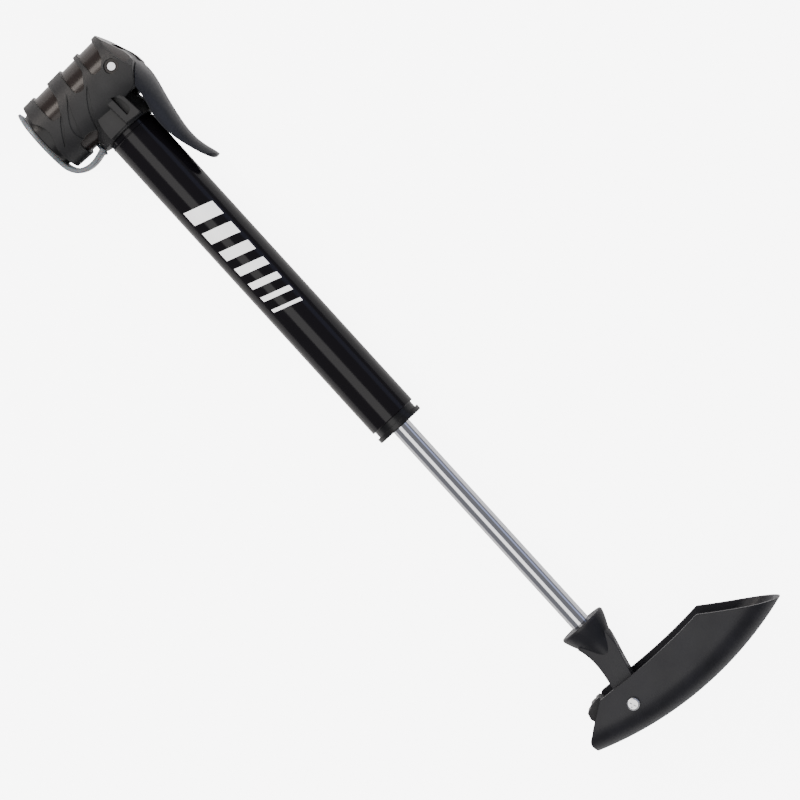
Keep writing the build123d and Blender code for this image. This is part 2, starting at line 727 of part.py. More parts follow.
save(strap_root.part, "strap_root")

# ================================================================ piston
with BuildPart() as piston:
    along_x(bore_r - piston_play, piston_x0, piston_x1)
    # grooves for the sliding seal and the wear ring
    for groove_x, groove_w, groove_d in ((piston_x0 + 3.0, 2.4, 1.8), (piston_x0 + 9.5, 4.0, 0.8)):
        along_x(bore_r, groove_x, groove_x + groove_w, mode=Mode.SUBTRACT)
        along_x(bore_r - groove_d, groove_x, groove_x + groove_w)
    cavity_r = rod_r + 1.8
    cavity_x1 = piston_x0 + cap_len + inner_seal_len + 3.0
    along_x(rod_r + run_gap, piston_x0, piston_x1, mode=Mode.SUBTRACT)
    along_x(cavity_r, piston_x0, cavity_x1, mode=Mode.SUBTRACT)
    along_x(cavity_r + 0.9, piston_x0, piston_x0 + cap_len, mode=Mode.SUBTRACT)
save(piston.part, "piston")

with BuildPart() as piston_cap:
    along_x(cavity_r + 0.9 - fixed_gap, piston_x0, piston_x0 + cap_len - 0.02)
    along_x(tube_r + 0.1, piston_x0, piston_x1, mode=Mode.SUBTRACT)
save(piston_cap.part, "piston_cap")

with BuildPart() as inner_seal:
    along_x(cavity_r - fixed_gap, piston_x0 + cap_len, piston_x0 + cap_len + inner_seal_len)
    along_x(tube_r + 0.03, piston_x0, piston_x1, mode=Mode.SUBTRACT)
save(inner_seal.part, "inner_seal")

with BuildPart() as piston_seal:
    along_x(bore_r - run_gap, piston_x0 + 3.1, piston_x0 + 5.3)
    along_x(bore_r - 1.75, piston_x0, piston_x1, mode=Mode.SUBTRACT)
    # two lips, one for each stroke
    with BuildSketch(Plane.XY):
        with BuildLine():
            Polyline(
                (piston_x0 + 3.7, bore_r),
                (piston_x0 + 4.2, bore_r - 0.8),
                (piston_x0 + 4.7, bore_r),
                close=True,
            )
        make_face()
    revolve(axis=Axis.X, mode=Mode.SUBTRACT)
save(piston_seal.part, "piston_seal")

with BuildPart() as wear_ring:
    along_x(bore_r - run_gap, piston_x0 + 9.6, piston_x0 + 13.4)
    along_x(bore_r - 0.75, piston_x0, piston_x1, mode=Mode.SUBTRACT)
    # the ring is split so that it can be sprung on
    with Locations((piston_x0 + 11.5, bore_r, 0)):
        Box(10, 3, 0.6, mode=Mode.SUBTRACT)
save(wear_ring.part, "wear_ring")

# ================================================================ rod
rod_x0 = piston_x0 + cap_len + inner_seal_len + 0.2
rod_x1 = stem_x0 + rod_seat
clip_x0 = rod_x0 + 1.2
port_x = piston_x1 + bump_len + 2.5
stem_pin_r = 1.2
stem_pin_back = 3.2  # from the rod's end
with BuildPart() as piston_rod:
    along_x(rod_r, rod_x0, rod_x1)
    along_x(rod_r, clip_x0 - 0.02, clip_x0 + clip_len + 0.02, mode=Mode.SUBTRACT)
    along_x(rod_r - clip_depth, clip_x0 - 0.02, clip_x0 + clip_len + 0.02)
    along_x(rod_bore_r, rod_x0, rod_x1, mode=Mode.SUBTRACT)
    along_z(port_r, rod_r + 1, port_x, 0, mode=Mode.SUBTRACT)
    along_y(stem_pin_r + 0.02, -rod_r - 1, rod_r + 1, mode=Mode.SUBTRACT, x=rod_x1 - stem_pin_back)
save(piston_rod.part, "piston_rod")

with BuildPart() as rod_clip:
    along_x(cavity_r - side_gap, clip_x0, clip_x0 + clip_len)
    along_x(rod_r - clip_depth + 0.02, clip_x0, clip_x0 + clip_len, mode=Mode.SUBTRACT)
    # the open side of the clip
    with Locations((clip_x0 + clip_len / 2, cavity_r, 0)):
        Box(5, 2 * cavity_r - 1.0, 5.0, mode=Mode.SUBTRACT)
save(rod_clip.part, "rod_clip")

with BuildPart() as bump_washer:
    along_x(bore_r - 1.5, piston_x1 + side_gap, piston_x1 + side_gap + bump_len)
    fillet(bump_washer.edges().filter_by(GeomType.CIRCLE), 0.6)
    along_x(rod_r + 0.02, piston_x1, gland_x0, mode=Mode.SUBTRACT)
save(bump_washer.part, "bump_washer")

with BuildPart() as rod_plug:
    along_x(rod_bore_r - 0.02, rod_x1 - 9.0, rod_x1)
    along_y(stem_pin_r + 0.02, -rod_r, rod_r, mode=Mode.SUBTRACT, x=rod_x1 - stem_pin_back)
save(rod_plug.part, "rod_plug")

# ================================================================ handle stem
arm_round = 9.7  # the arm's long edges are rounded to this cylinder
arm_halves = [(6.0, 5.4), (14.0, 5.6), (21.0, 6.4), (28.0, 7.6), (34.0, knuckle_half), (46.0, knuckle_half)]
stem_pin_half = 6.6
with BuildPart() as handle_stem:
    # a bell that the rod goes into
    with BuildSketch(Plane.XY):
        with BuildLine():
            Line((stem_x0, 0), (stem_x0, stem_top_r - 0.4))
            stem_lip = [(stem_x0, stem_top_r - 0.4), (stem_x0 + 0.6, stem_top_r), (stem_x0 + 1.6, stem_top_r - 0.1)]
            ThreePointArc(*stem_lip)
            bell = Spline(
                (stem_x0 + 1.6, stem_top_r - 0.1),
                (stem_x0 + 4.6, stem_top_r - 1.2),
                (stem_x0 + 9.0, stem_top_r - 3.2),
                (stem_x0 + 16.5, stem_top_r - 5.0),
                (stem_x0 + 20.0, stem_top_r - 5.6),
            )
            Line(bell @ 1, (stem_x0 + 22.0, 0))
            Line((stem_x0 + 22.0, 0), (stem_x0, 0))
        make_face()
    revolve(axis=Axis.X)

with BuildPart() as stem_arm:
    # the arm that runs on to the knuckle, with rounded long edges
    with BuildSketch(Plane.XY):
        with BuildLine():
            under = Spline(
                (stem_x0 + 7.0, -8.0),
                (stem_x0 + 15.5, -6.4),
                (stem_x0 + 24.0, -7.0),
                (pivot_x - 3.0, pivot_y - knuckle_r + 0.9),
            )
            Line(under @ 1, (pivot_x, pivot_y))
            Line((pivot_x, pivot_y), (pivot_x - 0.5, pivot_y + knuckle_r))
            over = Spline(
                (pivot_x - 0.5, pivot_y + knuckle_r),
                (stem_x0 + 29.5, 2.2),
                (stem_x0 + 16.0, 5.7),
                (stem_x0 + 7.0, 8.3),
            )
            Line(over @ 1, under @ 0)
        make_face()
        with Locations((pivot_x, pivot_y)):
            Circle(knuckle_r)
    extrude(amount=knuckle_half, both=True)
    along_x(arm_round, stem_x0, pivot_x + 2 * knuckle_r, mode=Mode.INTERSECT, y=-2.2)
    # plan view: the arm leaves the bell narrow and widens to the knuckle
    with BuildSketch(Plane.XZ.offset(-60)):
        with BuildLine():
            near_side = Spline(*[(stem_x0 + x, half) for x, half in arm_halves])
            far_side = Spline(*[(stem_x0 + x, -half) for x, half in arm_halves])
            Line(near_side @ 0, far_side @ 0)
            Line(near_side @ 1, far_side @ 1)
        make_face()
    extrude(amount=120, mode=Mode.INTERSECT)

with handle_stem:
    add(stem_arm.part)
    along_z(washer_r, knuckle_half, pivot_x, pivot_y)
    along_x(rod_r + 0.02, stem_x0 - 1, rod_x1 + 0.02, mode=Mode.SUBTRACT)
    along_z(sleeve_r + run_gap, 20, pivot_x, pivot_y, mode=Mode.SUBTRACT)
    along_y(stem_pin_r + 0.02, -20, 20, mode=Mode.SUBTRACT, x=rod_x1 - stem_pin_back)
save(handle_stem.part, "handle_stem")

with BuildPart() as stem_pin:
    along_y(stem_pin_r, -stem_pin_half, stem_pin_half, x=rod_x1 - stem_pin_back)
save(stem_pin.part, "stem_pin")

# ================================================================ folding handle
screw_hole_r = sleeve_r + 0.02


def on_handle(x, y):
    """A place on the handle, counted from its hinge."""
    return (pivot_x + x, pivot_y + y)


def spine_at(apex_x, y):
    """How far the back stands out from the hinge at height y above it."""
    return apex_x - spine_r + sqrt(spine_r**2 - (y - spine_y) ** 2)


def handle_blank(apex_x, half, rounding, far_x):
    """A long trough with a rounded back, open towards -X, before its ends are cut."""
    low_y = -55.0
    high_y = 105.0
    low_x = spine_at(apex_x, low_y)
    high_x = spine_at(apex_x, high_y)
    with BuildPart() as blank:
        with BuildSketch(Plane.XY):
            with BuildLine():
                ThreePointArc(on_handle(low_x, low_y), on_handle(apex_x, spine_y), on_handle(high_x, high_y))
                Polyline(
                    on_handle(high_x, high_y),
                    on_handle(far_x, high_y),
                    on_handle(far_x, low_y),
                    on_handle(low_x, low_y),
                )
            make_face()
        extrude(amount=half, both=True)
        back = blank.faces().filter_by(GeomType.CYLINDER).sort_by(Axis.X)[-1]
        long_edges = [e for e in back.edges() if e.geom_type == GeomType.CIRCLE]
        fillet(long_edges, rounding)
    return blank.part


shell_outer = handle_blank(spine_x, outer_half, back_round, -40.0)
shell_inner = handle_blank(spine_x - handle_wall, inner_half, back_round - handle_wall, -50.0)
boss_z = inner_half - 0.6  # the inner face of the shell's hinge bosses
guide_x = (-5.0, 9.0)
guide_y = (-19.5, -8.5)
latch_pin_at = (-0.5, -14.0)
with BuildPart() as handle_shell:
    add(shell_outer)
    add(shell_inner, mode=Mode.SUBTRACT)
    # bosses inside the walls that guide the latch
    for side in (1, -1):
        with BuildSketch(Plane.XY.offset(side * guide_half)):
            with BuildLine():
                Polyline(
                    on_handle(guide_x[0], guide_y[1]),
                    on_handle(guide_x[1], guide_y[1]),
                    on_handle(guide_x[1] - 2, guide_y[0]),
                    on_handle(guide_x[0], guide_y[0]),
                    close=True,
                )
            make_face()
        extrude(amount=side * (inner_half - guide_half + 0.5))
        with BuildSketch(Plane.XY.offset(side * boss_z)):
            with Locations((pivot_x, pivot_y)):
                Circle(washer_r + 0.3)
        extrude(amount=side * 1.2)
    add(shell_outer, mode=Mode.INTERSECT)
    # the side outline: slanted tip, nearly straight open edge, angled heel
    with BuildSketch(Plane.XY):
        with BuildLine():
            Polyline(on_handle(30, -25.6), on_handle(1.2, -25.6), on_handle(-10.1, -9.6), on_handle(-9.6, 0.0))
            ThreePointArc(on_handle(-9.6, 0.0), on_handle(-9.0, 24.0), on_handle(-10.3, 44.4))
            cut = ThreePointArc(on_handle(-10.3, 44.4), on_handle(-1.0, 58.6), on_handle(9.6, 76.6))
            Polyline(cut @ 1, on_handle(30, 76.6), on_handle(30, -25.6))
        make_face()
        corners = [v for v in vertices() if v.X < pivot_x - 8 and abs(v.Y - pivot_y - 44.4) < 1]
        fillet(corners, 1.6)
        heel_corner = [v for v in vertices() if abs(v.Y - pivot_y + 25.6) < 0.1 and v.X < pivot_x + 5]
        fillet(heel_corner, 4.5)
        elbow = [v for v in vertices() if abs(v.Y - pivot_y + 9.6) < 0.1]
        fillet(elbow, 2.5)
    extrude(amount=40, both=True, mode=Mode.INTERSECT)
    along_z(screw_hole_r, 40, pivot_x, pivot_y, mode=Mode.SUBTRACT)
    along_z(1.02, inner_half - 1.5, *on_handle(*latch_pin_at), mode=Mode.SUBTRACT)
save(handle_shell.part, "handle_shell")

with BuildPart() as hinge_sleeve:
    # a barrel nut: its head is on the far side
    with Locations((pivot_x, pivot_y, -outer_half - 0.5)):
        Cylinder(sleeve_r, 2 * outer_half + 0.1, align=(Align.CENTER, Align.CENTER, Align.MIN))
    with Locations((pivot_x, pivot_y, -outer_half)):
        Cylinder(screw_head_r + 0.7, 1.2, align=(Align.CENTER, Align.CENTER, Align.MAX))
    chamfer(hinge_sleeve.edges().group_by(Axis.Z)[0], 0.4)
    with Locations((pivot_x, pivot_y, -outer_half + 2.0)):
        Cylinder(screw_r, 40, align=(Align.CENTER, Align.CENTER, Align.MIN), mode=Mode.SUBTRACT)
save(hinge_sleeve.part, "hinge_sleeve")

screw_len = 16.0
with BuildPart() as hinge_screw:
    with Locations((pivot_x, pivot_y, outer_half)):
        Cylinder(screw_head_r, screw_head_len, align=(Align.CENTER, Align.CENTER, Align.MIN))
    fillet(hinge_screw.edges().group_by(Axis.Z)[-1], 0.9)
    with Locations((pivot_x, pivot_y, outer_half)):
        Cylinder(screw_r - 0.02, screw_len, align=(Align.CENTER, Align.CENTER, Align.MAX))
    # cross recess
    with Locations((pivot_x, pivot_y, outer_half + screw_head_len)):
        for turn in (20, 110):
            with Locations(Location((0, 0, 0), (0, 0, turn))):
                Box(3.2, 0.7, 2.2, mode=Mode.SUBTRACT)
save(hinge_screw.part, "hinge_screw")

with BuildPart() as hinge_washers:
    for side in (1, -1):
        with BuildSketch(Plane.XY.offset(side * (knuckle_half + 0.15))):
            with Locations((pivot_x, pivot_y)):
                Circle(washer_r)
                Circle(sleeve_r + 0.02, mode=Mode.SUBTRACT)
        extrude(amount=side * (boss_z - knuckle_half - 0.15))
save(hinge_washers.part, "hinge_washers")

latch_half = guide_half - side_gap
with BuildPart() as latch:
    # a ribbed thumb piece on a rocker
    with BuildSketch(Plane.XY):
        with BuildLine():
            Polyline(
                on_handle(-8.6, -9.3),
                on_handle(-10.6, -10.3),
                on_handle(-10.6, -12.2),
                on_handle(-9.6, -12.6),
                on_handle(-10.3, -13.1),
                on_handle(-10.1, -15.1),
                on_handle(-8.9, -15.6),
                on_handle(-9.3, -16.1),
                on_handle(-8.6, -18.2),
                on_handle(-5.8, -18.9),
                on_handle(1.6, -16.4),
                on_handle(2.0, -11.4),
                on_handle(-0.6, -8.4),
                on_handle(-4.0, -8.8),
                close=True,
            )
        make_face()
    extrude(amount=latch_half, both=True)
    along_z(1.0 + run_gap, 20, *on_handle(*latch_pin_at), mode=Mode.SUBTRACT)
save(latch.part, "latch")

with BuildPart() as latch_pin:
    along_z(1.0, inner_half - 1.6, *on_handle(*latch_pin_at))
save(latch_pin.part, "latch_pin")

latch_spring_y = -14.2
latch_spring_x = 2.4
latch_spring_len = spine_at(spine_x - handle_wall, latch_spring_y - 2.0) - latch_spring_x - side_gap
spring_start = on_handle(latch_spring_x, latch_spring_y)
coil((spring_start[0], spring_start[1], 0), (1, 0, 0), latch_spring_len, 1.6, 0.5, 3.5, "latch_spring")
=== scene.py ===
# %% [markdown]
# # A double action hand pump
# The pump is a slim bicycle pump: an alloy barrel, a head with a locking lever,
# a chromed rod and a folding handle. Its working parts come from the CAD model,
# which fixes every size and place, so this script adds what CAD can't say: what
# each part is made of, the soft cap strap, the printed graphic, and the light.

# %% Load the model
import json
import math

import bmesh
import bpy
from mathutils import Matrix, Vector


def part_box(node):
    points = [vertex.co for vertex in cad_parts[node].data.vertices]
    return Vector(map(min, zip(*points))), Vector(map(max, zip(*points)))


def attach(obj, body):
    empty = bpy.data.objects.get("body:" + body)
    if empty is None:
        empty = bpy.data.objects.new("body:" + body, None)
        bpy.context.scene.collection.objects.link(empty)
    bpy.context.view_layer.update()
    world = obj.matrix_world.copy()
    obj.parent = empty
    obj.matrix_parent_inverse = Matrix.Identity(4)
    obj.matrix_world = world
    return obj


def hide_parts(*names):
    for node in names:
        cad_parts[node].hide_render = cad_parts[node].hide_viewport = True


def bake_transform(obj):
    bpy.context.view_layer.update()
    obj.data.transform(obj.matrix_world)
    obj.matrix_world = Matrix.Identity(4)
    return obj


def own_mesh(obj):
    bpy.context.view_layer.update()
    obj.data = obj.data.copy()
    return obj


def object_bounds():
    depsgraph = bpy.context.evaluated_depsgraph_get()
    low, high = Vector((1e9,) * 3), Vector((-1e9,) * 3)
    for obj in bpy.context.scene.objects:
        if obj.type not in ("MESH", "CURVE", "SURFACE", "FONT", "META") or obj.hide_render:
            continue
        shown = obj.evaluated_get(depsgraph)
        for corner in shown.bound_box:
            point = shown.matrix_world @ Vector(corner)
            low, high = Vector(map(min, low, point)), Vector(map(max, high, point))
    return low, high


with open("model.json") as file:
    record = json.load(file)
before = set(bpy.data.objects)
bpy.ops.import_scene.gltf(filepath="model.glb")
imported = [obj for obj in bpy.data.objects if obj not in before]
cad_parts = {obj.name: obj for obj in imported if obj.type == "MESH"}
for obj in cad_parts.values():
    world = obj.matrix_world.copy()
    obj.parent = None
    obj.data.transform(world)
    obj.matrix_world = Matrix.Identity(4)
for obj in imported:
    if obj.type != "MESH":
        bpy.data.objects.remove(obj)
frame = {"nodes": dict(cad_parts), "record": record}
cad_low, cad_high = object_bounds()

# %% [markdown]
# Every size below is thought out in millimetres, as on a drawing, and Blender
# works in metres. One constant makes the change plain wherever it happens. The
# barrel's own axis is X, the valve's axis is parallel to Y, and the middle
# plane of the pump is z = 0. Where the valve's axis is and how wide the barrel
# is are read from the CAD boxes.

# %% Sizes read from the model
mm = 0.001
barrel_low, barrel_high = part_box("barrel_tube")
barrel_r = (barrel_high.y - barrel_low.y) / 2  # out to the rolled bead, just over the tube
cap_low, cap_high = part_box("dust_cap")
root_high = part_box("strap_root")[1]
grommet_low, grommet_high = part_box("valve_grommet")
valve_x = (grommet_low.x + grommet_high.x) / 2
print("barrel radius", round(barrel_r / mm, 2), "valve axis x", round(valve_x / mm, 2))

# %% [markdown]
# A finish is easier to compare with a real part when its colour is written the
# way a colour picker shows it, in sRGB. Shaders work with linear light, so one
# function turns the hex value into linear numbers. One more small function adds
# a node to a material: it sets the node's properties, and fills its inputs with
# numbers or with links, which keeps each material short enough to read.

# %% Two helpers for materials
def linear(colour):
    """A linear colour with alpha from an sRGB hex value."""
    parts = [int(colour[i:i + 2], 16) / 255 for i in (1, 3, 5)]
    bent = [c / 12.92 if c <= 0.04045 else ((c + 0.055) / 1.055) ** 2.4 for c in parts]
    return (*bent, 1.0)


def add_node(tree, kind, inputs=None, **settings):
    """Add a node, set its properties, and fill its inputs with values or links."""
    made = tree.nodes.new(kind)
    for name, value in settings.items():
        setattr(made, name, value)
    for name, value in (inputs or {}).items():
        if isinstance(value, bpy.types.NodeSocket):
            tree.links.new(value, made.inputs[name])
        else:
            made.inputs[name].default_value = value
    return made


print("black nylon in linear light:", [round(c, 4) for c in linear("#353537")[:3]])

# %% [markdown]
# A material begins as one Principled shader whose uniform values are set on its
# own sockets. Patterns are laid out in object coordinates, because every CAD
# object keeps the model's own axes: a grain drawn there stays on its part when
# the part moves. The texture scale of a noise is features per metre, so it
# comes from the size of one real feature.

# %% A first function for finishes
def new_finish(name, roughness, metallic=0.0, **sockets):
    """A material with a Principled shader: (material, tree, shader, coordinates)."""
    finish = bpy.data.materials.new(name)
    finish.use_nodes = True
    tree = finish.node_tree
    shader = tree.nodes["Principled BSDF"]
    shader.inputs["Roughness"].default_value = roughness
    shader.inputs["Metallic"].default_value = metallic
    for socket, value in sockets.items():
        shader.inputs[socket.replace("_", " ")].default_value = value
    places = add_node(tree, "ShaderNodeTexCoord").outputs["Object"]
    return finish, tree, shader, places


def mottled(tree, shader, places, dark, light, patch):
    """Colour that drifts between two hex values over patches of that size."""
    cloud = add_node(tree, "ShaderNodeTexNoise",
                     {"Vector": places, "Scale": 1 / patch, "Detail": 3.0})
    ramp = add_node(tree, "ShaderNodeMapRange",
                    {"Value": cloud.outputs["Fac"], "From Min": 0.3, "From Max": 0.7})
    mix = add_node(tree, "ShaderNodeMix",
                   {"Factor": ramp.outputs["Result"]}, data_type="RGBA")
    mix.inputs["A"].default_value = linear(dark)
    mix.inputs["B"].default_value = linear(light)
    tree.links.new(mix.outputs["Result"], shader.inputs["Base Color"])
    return mix.outputs["Result"]


def grained(tree, shader, places, grain, depth, edge, strength):
    """Bump of that grain size and depth, on edges softened to the edge radius."""
    bumps = add_node(tree, "ShaderNodeTexNoise",
                     {"Vector": places, "Scale": 1 / grain, "Detail": 2.0})
    soft_edge = add_node(tree, "ShaderNodeBevel", {"Radius": edge}, samples=6)
    bump = add_node(tree, "ShaderNodeBump",
                    {"Height": bumps.outputs["Fac"], "Distance": depth,
                     "Strength": strength, "Normal": soft_edge.outputs["Normal"]})
    tree.links.new(bump.outputs["Normal"], shader.inputs["Normal"])
    return bump


print("finish helpers ready")

# %% [markdown]
# The head is injection moulded from black glass-filled nylon. The mould was
# spark eroded, which leaves a fine, matt texture that scatters light, but the
# floors of the recesses between the bands were polished, so they are glossy and
# a little browner, and show bright streaks. One material does both: it measures
# how far a point is from the valve's axis, and a point at or under the radius of
# the recess floors gets the polished finish. The real texture is about 0.05 mm,
# too fine to see at arm's length, so it is drawn at 0.5 mm.

# %% Head nylon
recess_r = 16.63 * mm  # the recess floors, at the height of the barrel's axis
recess_draft = 0.035  # their radius grows this much for each unit of height
polish_edge = 0.3 * mm
polish_fade = 1.6 * polish_edge
far_side_x = valve_x + 0.5 * mm  # the polish is on the side away from the barrel
low_ring_y = -9.0 * mm  # and all round below this height
matt_rough, polished_rough = 0.46, 0.2
matt_grain, polished_grain = 0.8, 0.08
head_nylon, tree, shader, places = new_finish(
    "spark_textured_black_nylon", matt_rough, Specular_IOR_Level=0.3)
matt_colour = mottled(tree, shader, places, "#2a2a2b", "#323233", 9 * mm)
textured = grained(tree, shader, places, 0.5 * mm, 0.03 * mm, 0.35 * mm, matt_grain)
axes = add_node(tree, "ShaderNodeSeparateXYZ", {"Vector": places})
across = add_node(tree, "ShaderNodeMath", {0: axes.outputs["X"], 1: valve_x},
                  operation="SUBTRACT")
flat = add_node(tree, "ShaderNodeCombineXYZ",
                {"X": across.outputs[0], "Y": 0.0, "Z": axes.outputs["Z"]})
distance = add_node(tree, "ShaderNodeVectorMath", {0: flat.outputs[0]}, operation="LENGTH")
drafted = add_node(tree, "ShaderNodeMath",
                   {0: axes.outputs["Y"], 1: -recess_draft, 2: distance.outputs["Value"]},
                   operation="MULTIPLY_ADD")
polished = add_node(tree, "ShaderNodeMapRange",
                    {"Value": drafted.outputs[0], "From Min": recess_r + polish_edge,
                     "From Max": recess_r + polish_fade, "To Min": 1.0, "To Max": 0.0})
far_side = add_node(tree, "ShaderNodeMath", {0: axes.outputs["X"], 1: far_side_x},
                    operation="LESS_THAN")
low_ring = add_node(tree, "ShaderNodeMath", {0: axes.outputs["Y"], 1: low_ring_y},
                    operation="LESS_THAN")
where = add_node(tree, "ShaderNodeMath", {0: far_side.outputs[0], 1: low_ring.outputs[0]},
                 operation="MAXIMUM")
polish = add_node(tree, "ShaderNodeMath", {0: polished.outputs["Result"], 1: where.outputs[0]},
                  operation="MULTIPLY")
two_colours = add_node(tree, "ShaderNodeMix",
                       {"Factor": polish.outputs[0]}, data_type="RGBA")
tree.links.new(matt_colour, two_colours.inputs["A"])
two_colours.inputs["B"].default_value = linear("#2b2523")
tree.links.new(two_colours.outputs["Result"], shader.inputs["Base Color"])
sheen = add_node(tree, "ShaderNodeMapRange",
                 {"Value": polish.outputs[0], "To Min": matt_rough, "To Max": polished_rough})
tree.links.new(sheen.outputs["Result"], shader.inputs["Roughness"])
less_grain = add_node(tree, "ShaderNodeMapRange",
                      {"Value": polish.outputs[0], "To Min": matt_grain, "To Max": polished_grain})
tree.links.new(less_grain.outputs["Result"], textured.inputs["Strength"])
print("head nylon:", len(tree.nodes), "nodes")

# %% [markdown]
# The lever is the same nylon from a mould with a finer finish, so it takes a
# soft sheen. The handle and its stem are a slightly cooler black nylon with a
# satin surface, and the thumb latch is plainer. The gland is turned from black
# acetal and the mouth's collar is black ABS. One function makes all five from
# their colours, their roughness, and the sizes of their grain and their edges.

# %% The black plastics
rough_spread = 0.05


def black_plastic(name, dark, light, roughness, grain, edge):
    """A faintly mottled black plastic with a fine grain and soft edges."""
    finish, tree, shader, places = new_finish(name, roughness, Specular_IOR_Level=0.3)
    mottled(tree, shader, places, dark, light, 12 * mm)
    grained(tree, shader, places, grain, 0.02 * mm, edge, 0.6)
    worn = add_node(tree, "ShaderNodeTexNoise",
                    {"Vector": places, "Scale": 1 / (6 * mm), "Detail": 4.0})
    drift = add_node(tree, "ShaderNodeMapRange",
                     {"Value": worn.outputs["Fac"], "From Min": 0.25, "From Max": 0.75,
                      "To Min": roughness - rough_spread, "To Max": roughness + rough_spread})
    tree.links.new(drift.outputs["Result"], shader.inputs["Roughness"])
    return finish


lever_nylon = black_plastic(
    "fine_textured_black_nylon", "#25262a", "#2d2e33", 0.36, 0.5 * mm, 0.5 * mm)
handle_nylon = black_plastic(
    "satin_black_nylon", "#222226", "#29292e", 0.4, 0.6 * mm, 0.5 * mm)
latch_nylon = black_plastic(
    "plain_black_nylon", "#1b1b1e", "#212124", 0.42, 0.4 * mm, 0.3 * mm)
gland_acetal = black_plastic(
    "turned_black_acetal", "#19191b", "#202022", 0.3, 0.4 * mm, 0.2 * mm)
collar_abs = black_plastic(
    "black_abs", "#171718", "#1d1d1f", 0.32, 0.4 * mm, 0.3 * mm)
print("nylons: lever, handle, latch; acetal gland; ABS collar")

# %% [markdown]
# The barrel is a drawn aluminium tube, dyed black and lacquered, so it mirrors
# the studio in long soft bands with a faint waviness left by the drawing die.
# Only its outside is black: the bore is honed bright for the seals. The
# material tells them apart by the distance from the barrel's axis.

# %% Black lacquered barrel
inside_r = barrel_r - 0.5 * mm  # between the bore and the outside
die_stretch = 0.04  # the die's marks are this much squeezed in the noise, so they run long
barrel_finish, tree, shader, places = new_finish(
    "black_lacquered_aluminium", 0.14, Specular_IOR_Level=0.26)
axes = add_node(tree, "ShaderNodeSeparateXYZ", {"Vector": places})
ring = add_node(tree, "ShaderNodeCombineXYZ",
                {"X": 0.0, "Y": axes.outputs["Y"], "Z": axes.outputs["Z"]})
radius = add_node(tree, "ShaderNodeVectorMath", {0: ring.outputs[0]}, operation="LENGTH")
bare = add_node(tree, "ShaderNodeMath",
                {0: radius.outputs["Value"], 1: inside_r}, operation="LESS_THAN")
lacquer = add_node(tree, "ShaderNodeMix", {"Factor": bare.outputs[0]}, data_type="RGBA")
lacquer.inputs["A"].default_value = linear("#141216")
lacquer.inputs["B"].default_value = linear("#c3c5c7")
tree.links.new(lacquer.outputs["Result"], shader.inputs["Base Color"])
tree.links.new(bare.outputs[0], shader.inputs["Metallic"])
stretched = add_node(tree, "ShaderNodeMapping",
                     {"Vector": places, "Scale": (die_stretch, 1.0, 1.0)})
drawn = add_node(tree, "ShaderNodeTexNoise",
                 {"Vector": stretched.outputs[0], "Scale": 1 / (1.6 * mm), "Detail": 2.0})
waves = add_node(tree, "ShaderNodeBump",
                 {"Height": drawn.outputs["Fac"], "Distance": 0.01 * mm, "Strength": 0.35})
tree.links.new(waves.outputs["Normal"], shader.inputs["Normal"])
print("barrel finish:", len(tree.nodes), "nodes")

# %% [markdown]
# The rod is steel tube, ground, polished and hard chromed, the brightest part of
# the pump. The fittings are zinc plated steel, the springs are drawn wire, and
# the delivery tube is brass. Metals differ in colour and in how rough they are,
# and each carries faint marks along the way it was worked: a noise stretched
# along one axis drives the roughness and a very shallow bump.

# %% Metals
mark_stretch = 0.03
mark_depth = 0.004 * mm


def worked_metal(name, colour, roughness, mark, along, spread=0.06):
    """A metal with marks of that width, stretched along one of the axes 0, 1, 2."""
    finish, tree, shader, places = new_finish(name, roughness, metallic=1.0)
    shader.inputs["Base Color"].default_value = linear(colour)
    squeeze = [1.0, 1.0, 1.0]
    squeeze[along] = mark_stretch
    laid = add_node(tree, "ShaderNodeMapping", {"Vector": places, "Scale": squeeze})
    marks = add_node(tree, "ShaderNodeTexNoise",
                     {"Vector": laid.outputs[0], "Scale": 1 / mark, "Detail": 3.0})
    drift = add_node(tree, "ShaderNodeMapRange",
                     {"Value": marks.outputs["Fac"], "From Min": 0.3, "From Max": 0.7,
                      "To Min": max(roughness - spread, 0.02), "To Max": roughness + spread})
    tree.links.new(drift.outputs["Result"], shader.inputs["Roughness"])
    bump = add_node(tree, "ShaderNodeBump",
                    {"Height": marks.outputs["Fac"], "Distance": mark_depth, "Strength": 0.4})
    tree.links.new(bump.outputs["Normal"], shader.inputs["Normal"])
    return finish


chrome = worked_metal("hard_chromed_steel", "#d9dade", 0.09, 0.5 * mm, 0, spread=0.03)
zinc = worked_metal("bright_zinc_plated_steel", "#dfe0e2", 0.22, 0.4 * mm, 0)
spring_wire = worked_metal("drawn_spring_wire", "#b4b5b8", 0.28, 0.2 * mm, 1)
brass = worked_metal("drawn_brass", "#d8b36a", 0.26, 0.3 * mm, 0)
print("metals: chrome, zinc plate, spring wire, brass")

# %% [markdown]
# The cap strap is soft clear vinyl with a grey tint. Light goes into it and
# comes out again, so it needs some scattering under the surface and a little
# clear transmission. The grommet and the seals are black rubber, matt with a
# dusty bloom, and the piston parts are natural white acetal, waxy and smooth.

# %% Vinyl, rubber and acetal
vinyl, tree, shader, places = new_finish(
    "clear_grey_vinyl", 0.3, Transmission_Weight=0.25, Subsurface_Weight=0.3,
    Subsurface_Scale=1.2 * mm, IOR=1.53)
mottled(tree, shader, places, "#858b92", "#969ca2", 7 * mm)
grained(tree, shader, places, 1.2 * mm, 0.02 * mm, 0.3 * mm, 0.5)

rubber, tree, shader, places = new_finish("matt_black_rubber", 0.7, Specular_IOR_Level=0.4)
mottled(tree, shader, places, "#1b1b1c", "#262627", 3 * mm)
grained(tree, shader, places, 0.4 * mm, 0.03 * mm, 0.2 * mm, 0.7)

